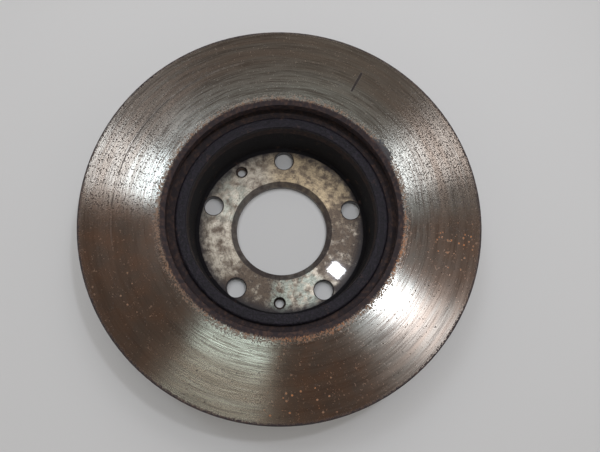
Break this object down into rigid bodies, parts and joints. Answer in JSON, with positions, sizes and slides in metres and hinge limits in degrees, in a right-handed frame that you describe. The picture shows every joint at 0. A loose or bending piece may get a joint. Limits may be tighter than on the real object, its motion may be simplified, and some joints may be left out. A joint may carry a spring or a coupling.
{
  "type": "ventilated brake disc rotor",
  "caption": "Ventilated hat-type brake disc rotor in cast iron: friction plates joined by radial cooling vanes, and a bell-shaped hat with a flat hub flange.",
  "frame": {"origin": "centre of the hat's outboard face, on the spin axis, where the wheel sits", "axes": "+Z along the spin axis, from the wheel side to the inboard side; +Y through the first stud hole"},
  "size_m": [0.274, 0.274, 0.063],
  "materials": {
    "machined_iron_face": "turned friction face, worn in rings, with freckles of rust",
    "machined_iron_hat": "turned hub seat, dull, stained brown",
    "cast_iron_skin": "rough dark casting skin with thin rust"
  },
  "bodies": {
    "root": {"mounting_flange": "machined_iron_hat", "hat_wall": "cast_iron_skin", "hat_mouth_ring": "cast_iron_skin", "outboard_friction_plate": "machined_iron_face", "inboard_friction_plate": "machined_iron_face", "cooling_vane_01": "cast_iron_skin", "cooling_vane_02": "cast_iron_skin", "cooling_vane_03": "cast_iron_skin", "cooling_vane_04": "cast_iron_skin", "cooling_vane_05": "cast_iron_skin", "cooling_vane_06": "cast_iron_skin", "cooling_vane_07": "cast_iron_skin", "cooling_vane_08": "cast_iron_skin", "cooling_vane_09": "cast_iron_skin", "cooling_vane_10": "cast_iron_skin", "cooling_vane_11": "cast_iron_skin", "cooling_vane_12": "cast_iron_skin", "cooling_vane_13": "cast_iron_skin", "cooling_vane_14": "cast_iron_skin", "cooling_vane_15": "cast_iron_skin", "cooling_vane_16": "cast_iron_skin", "cooling_vane_17": "cast_iron_skin", "cooling_vane_18": "cast_iron_skin", "cooling_vane_19": "cast_iron_skin", "cooling_vane_20": "cast_iron_skin", "cooling_vane_21": "cast_iron_skin", "cooling_vane_22": "cast_iron_skin", "cooling_vane_23": "cast_iron_skin", "cooling_vane_24": "cast_iron_skin", "cooling_vane_25": "cast_iron_skin", "cooling_vane_26": "cast_iron_skin", "cooling_vane_27": "cast_iron_skin", "cooling_vane_28": "cast_iron_skin", "cooling_vane_29": "cast_iron_skin", "cooling_vane_30": "cast_iron_skin", "cooling_vane_31": "cast_iron_skin", "cooling_vane_32": "cast_iron_skin", "cooling_vane_33": "cast_iron_skin", "cooling_vane_34": "cast_iron_skin", "cooling_vane_35": "cast_iron_skin", "cooling_vane_36": "cast_iron_skin", "cooling_vane_37": "cast_iron_skin", "cooling_vane_38": "cast_iron_skin", "cooling_vane_39": "cast_iron_skin", "cooling_vane_40": "cast_iron_skin"}
  },
  "joints": []
}
